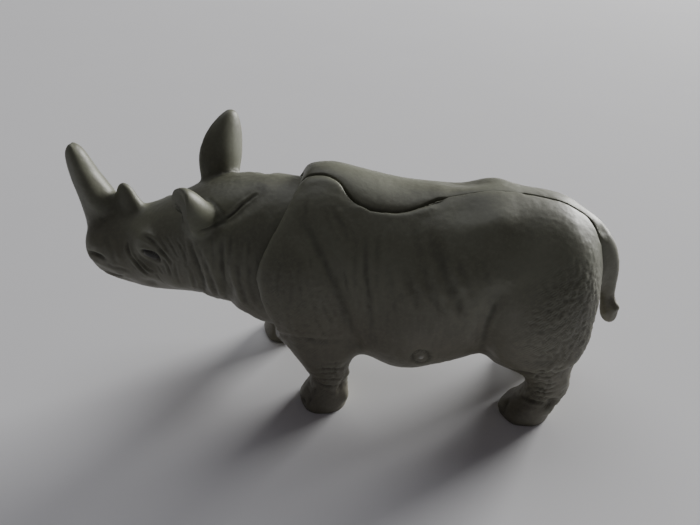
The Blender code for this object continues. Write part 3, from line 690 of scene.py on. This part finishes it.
def carve_folds(skin, folds, other=None, low=0.0):
    """Folds on the near side, and those above low on the far side of the other skin too."""
    for breadth, depth, lip, path in folds:
        places, ways = skin.trace(path)
        if len(places) < 2:
            continue
        skin.fold(places, ways, breadth, depth, lip)
        if other and places[:, 2].min() > low:
            spots, turns = other.opposite(places)
            other.fold(spots, turns, breadth, depth, lip)


def leg_rings(skin, x, y, heights):
    """Cross wrinkles round a lower leg."""
    around = patch(skin.points, ((x, y, RING_MIDDLE), RING_HALVES))
    for i in np.flatnonzero(around > 0.02):
        spot = skin.points[i]
        wave = noise.noise(Vector((spot[0] * 0.7, spot[1] * 0.7, 3.0 + spot[2] * 0.3)))
        level = spot[2] + RING_WAVE * wave
        for height in heights:
            skin.rise[i] -= RING_DEPTH * around[i] * math.exp(-((level - height) / RING_BREADTH) ** 2)


def carve_body():
    carve_forms(left, BODY_FORMS, right)
    left.press()
    right.press()
    carve_folds(left, BODY_FOLDS, right, MIRRORED_ABOVE)
    for skin, side in ((left, -1.0), (right, 1.0)):
        points = skin.points
        outer = np.clip(skin.normals[:, 1] * side * 1.5 + 0.3, 0.0, 1.0)
        stretches = {
            "all": np.ones(len(points)),
            "outer": outer,
            "haunch": patch(points, HAUNCH, side) * outer,
            "shoulder": patch(points, SHOULDER, side) * outer,
            "flank": patch(points, FLANK, side) * outer,
            "shins": np.maximum(patch(points, FORE_SHIN, side), patch(points, HIND_SHIN, side)),
        }
        for stretch, height, scale, seed in BODY_RELIEF:
            skin.relief(stretches[stretch], height, scale, seed)
        skin.shade += HAUNCH_SHADE * stretches["haunch"]
    for x, y, heights in LEG_RINGS:
        leg_rings(right, x, y, heights)
    left.press()
    right.press()


def carve_tail():
    carve_forms(right, TAIL_FORMS)
    carve_folds(right, TAIL_HAIRS)
    right.press()


def carve_marks():
    """The lip along the parting, the collar's rim and the gate mark."""
    places, ways = left.trace(PARTING_LIP)
    left.welt(places, ways, PARTING_WELT)
    places, ways = left.trace(COLLAR_RIM)
    left.welt(places, ways, COLLAR_WELT)
    right.welt(*right.opposite(places), COLLAR_WELT)
    turn = np.linspace(0.0, 2.0 * math.pi, 25)
    ring = [(GATE[0] + GATE_SIZE[0] * math.cos(a), GATE[1] + GATE_SIZE[1] * math.sin(a)) for a in turn]
    places, ways = left.trace(ring)
    inside, share = left.welt(places, ways, GATE_WELT)
    left.shade[inside] += GATE_SHADE * share
    places, ways = left.trace([GATE])
    for radius, height in GATE_FORMS:
        left.swell(places[0], ways[0], radius, height)
    reach, breadth, _ = GATE_WELT
    inside, away, _ = left.near(places, ways, reach)
    left.glint[inside] += GATE_GLINT * bell(away, breadth)
    left.press()
    right.press()


def rim_heights(skin, side, line):
    """Height of the skin beside a line on top of it, evened along the line."""
    tree = skin.surface()
    heights = []
    for x, y, z in line:
        spot = tree.ray_cast(Vector((x, y + side * RIM_STEP, z + 5.0)), Vector((0.0, 0.0, -1.0)))[0]
        heights.append(spot.z if spot else z)
    heights = np.pad(heights, RIM_MEAN // 2, mode="edge")
    return np.convolve(heights, np.ones(RIM_MEAN) / RIM_MEAN, mode="valid")


def parting_line():
    """Points along the middle of the gap over the hips, as high as the left rim."""
    seen, _ = left.trace(PARTING_TIGHT)
    line = []
    for x in np.arange(seen[:, 0].min(), seen[:, 0].max(), COLUMN):
        column = left.points[np.abs(left.points[:, 0] - x) < COLUMN]
        top = column[:, 2].max()
        line.append((x, column[column[:, 2] > top - COLUMN_TOP][:, 1].max() + RIM_GAP / 2, top))
    return np.array(line)


def close_parting():
    """Over the hips the two rims meet at one height, and over the rump they leave only a fine line."""
    line = parting_line()
    line_x, line_y, line_z = line.T
    where = {}
    for skin in (left, right):
        x, y, z = skin.points.T
        along = ramp(x, line_x[0] - 0.6, line_x[0] + 0.8) * (1.0 - ramp(x, line_x[-1] - 1.2, line_x[-1]))
        high = ramp(z - np.interp(x, line_x, line_z), -4.0, -2.0)
        where[skin] = (x.copy(), y - np.interp(x, line_x, line_y), along * high)
    step = 0.5 * (rim_heights(right, 1.0, line) - rim_heights(left, -1.0, line))
    for skin, side in ((left, 1.0), (right, -1.0)):
        x, away, share = where[skin]
        skin.points[:, 1] += side * RIM_PULL * share * bell(away, RIM_HOLD)
        skin.points[:, 2] += side * np.interp(x, line_x, step) * share * bell(away, RIM_BLEND)
    low, top = rim_heights(left, -1.0, line), rim_heights(right, 1.0, line)
    for skin, side in ((left, 1.0), (right, -1.0)):
        x, _, share = where[skin]
        away = skin.points[:, 1] - np.interp(x, line_x, line_y)
        across = np.clip(0.5 + away / (2.0 * RIM_STEP), 0.0, 1.0)
        bridge = np.interp(x, line_x, low) * (1.0 - across) + np.interp(x, line_x, top) * across
        bridge -= RIM_TUCK * np.clip(side * away / (0.5 * RIM_STEP), 0.0, 1.0)
        proud = np.clip(skin.points[:, 2] - bridge, 0.0, 0.5)
        skin.points[:, 2] -= share * proud * (1.0 - ramp(np.abs(away), RIM_STEP, 1.6 * RIM_STEP))
        soft = 0.5 * (share * bell(away, RIM_STEP))[:, None]
        for _ in range(RIM_ROUNDS):
            skin.points = skin.points + soft * (skin.around(skin.points) - skin.points)
    left.calm(line[0], 0.5, 5)
    fine, _ = left.trace(PARTING_FINE)
    for skin, side in ((left, 1.0), (right, -1.0)):
        away = np.linalg.norm(skin.points[:, None, :] - fine[None, ::3, :], axis=2).min(axis=1)
        skin.points[:, 1] += side * FINE_PULL * bell(away, FINE_HOLD)
        skin.write()
        skin.read()


def keel_horn():
    """The front horn raised in a blunt keel down each flank, so that its back is nearly flat."""
    x, y, z = head.points.T
    middle, heights, radii = np.array(HORN_AXIS).T
    radius = np.interp(z, heights, radii)
    off = x - np.interp(z, heights, middle)
    turn = np.degrees(np.arctan2(np.abs(y), off))
    share = bell(turn - KEEL_TURN, KEEL_SPREAD)
    share *= ramp(z, 21.5, 23.5) * (np.hypot(off, y) < 1.6 * radius)
    head.rise += HORN_KEEL * share * radius / radii[3]


def carve_face(mirror):
    """The nostril and the eye of one side, with the glint in it."""
    places, ways = head.trace(NOSTRIL_LINE, mirror)
    head.fold(places, ways, *NOSTRIL_FOLD)
    places, ways = head.trace([EYE_AT], mirror)
    centre, way = places[0], ways[0]
    inside, _, _ = head.near(places, ways, EYE_REACH)
    gap = head.points[inside] - centre
    along = np.array(EYE_LEAN)
    upward = np.cross(way, along) * (-1.0 if mirror else 1.0)
    u, v = gap @ along / EYE_SIZE[0], gap @ upward / EYE_SIZE[1]
    away = np.sqrt(u ** 2 + v ** 2)
    ball = np.exp(-away ** 4)
    lid, brow = (bell(away - place, breadth) for place, breadth, _ in (EYE_LID, EYE_BROW))
    head.rise[inside] += EYE_BALL * ball + EYE_LID[2] * lid * (v > -0.3) + EYE_BROW[2] * brow
    # Painted shade in the lid's groove and faintly on the ball; the ball darkened and made glossy, and the
    # upper lid's groove darkened with it as painted shade
    head.shade[inside] += 1.5 * lid * (v > -0.2) + 0.3 * ball
    head.wet[inside] += ball + 0.8 * lid * (v > 0.0)
    places, ways = head.trace([GLINT_AT], mirror)
    inside, away, _ = head.near(places, ways, 0.6)
    head.glint[inside] += 0.6 * bell(away, 0.12)
    head.wet[inside] -= 1.2 * bell(away, 0.13)


def roughen_head():
    """Wrinkles of the neck and the hide's relief, which leave out the ears and lie faintly on the horns."""
    points = head.points
    ears = np.zeros(len(points))
    for root, tip in EARS:
        root, rise = np.array(root), np.array(tip) - np.array(root)
        share = np.clip((points - root) @ rise / (rise @ rise), 0.0, 1.0)
        away = np.linalg.norm(points - root - share[:, None] * rise, axis=1)
        ears = np.maximum(ears, ramp(share, 0.05, 0.25) * (1.0 - ramp(away, 3.4, 4.2)))
    horns = ramp(points[:, 2], 21.8, 23.0) * ramp(-points[:, 0], 23.0, 24.5)
    hide = (1.0 - ears) * (1.0 - horns)
    neck = hide * ramp(points[:, 0], -21.0, -15.0) * (1.0 - 0.75 * ramp(points[:, 2], 21.0, 24.0))
    stretches = {"neck": neck, "hide": hide, "horns": horns}
    for stretch, height, scale, seed in HEAD_RELIEF:
        head.relief(stretches[stretch], height, scale, seed)


def carve_head():
    carve_forms(head, HEAD_FORMS, head)
    keel_horn()
    head.press()
    carve_folds(head, HEAD_FOLDS, head)
    for mirror in (False, True):
        carve_face(mirror)
    roughen_head()
    head.welt(*head.trace(EAR_RIM), EAR_WELT)
    head.fold(*head.trace(EAR_HOLE), *EAR_FOLD)
    head.press()


carve_body()
carve_tail()
carve_marks()
close_parting()
carve_head()

left.finish(moulded_plastic("left_shell_moulded_plastic", BASE, 0.0))
right.finish(moulded_plastic("right_shell_moulded_plastic", [c * RIGHT_TONE for c in BASE], 0.2))
head.finish(moulded_plastic("head_moulded_plastic", [c * HEAD_TONE for c in BASE], 0.4))
names = [m["slot"] for m in frame["record"]["materials"]]
for skin in (left, right, head):
    match = [n for n in names if n.startswith(skin.node)]


# Floor and light

def lay_paper():
    bpy.ops.object.select_all(action="DESELECT")
    bpy.ops.mesh.primitive_plane_add(size=6.0, location=(0.0, 0.0, 0.0))
    made = bpy.context.object
    made.name = "paper_floor"
    shade = Shade("pale_paper")
    tone = shade.noise(shade.node("ShaderNodeTexCoord", out=3), 30.0, 3.0)
    shade.set("Base Color", shade.blend(tone, *(toned(colour) for colour in PAPER)))
    shade.set("Roughness", 0.9)
    shade.set("Specular IOR Level", 0.1)
    made.data.materials.append(shade.material)


def hang_light(name, away, turn, rise, size, power, colour):
    """A rectangular panel light: turn and rise give the side that it shines from, in degrees."""
    lamp = bpy.data.lights.new(name, "AREA")
    lamp.shape = "RECTANGLE"
    lamp.size, lamp.size_y = size
    lamp.energy = power
    lamp.color = colour
    made = bpy.data.objects.new(name, lamp)
    bpy.context.scene.collection.objects.link(made)
    turn, rise = math.radians(turn), math.radians(rise)
    from_side = Vector((math.cos(rise) * math.cos(turn), math.cos(rise) * math.sin(turn), math.sin(rise)))
    made.location = Vector(LIT_SPOT) + from_side * away
    made.rotation_euler = from_side.to_track_quat("Z", "Y").to_euler()


def light_room():
    world = bpy.data.worlds.new("room")
    bpy.context.scene.world = world
    world.use_nodes = True
    air = world.node_tree.nodes["Background"]
    air.inputs["Color"].default_value = toned(ROOM_COLOUR)
    air.inputs["Strength"].default_value = ROOM_POWER
    hang_light("window", 1.00, 49.0, 12.5, (0.45, 0.40), 17.5, (1.0, 0.99, 0.97))
    hang_light("sky", 0.70, 105.0, 60.0, (0.7, 0.5), 1.45, (0.97, 0.98, 1.0))


lay_paper()
light_room()
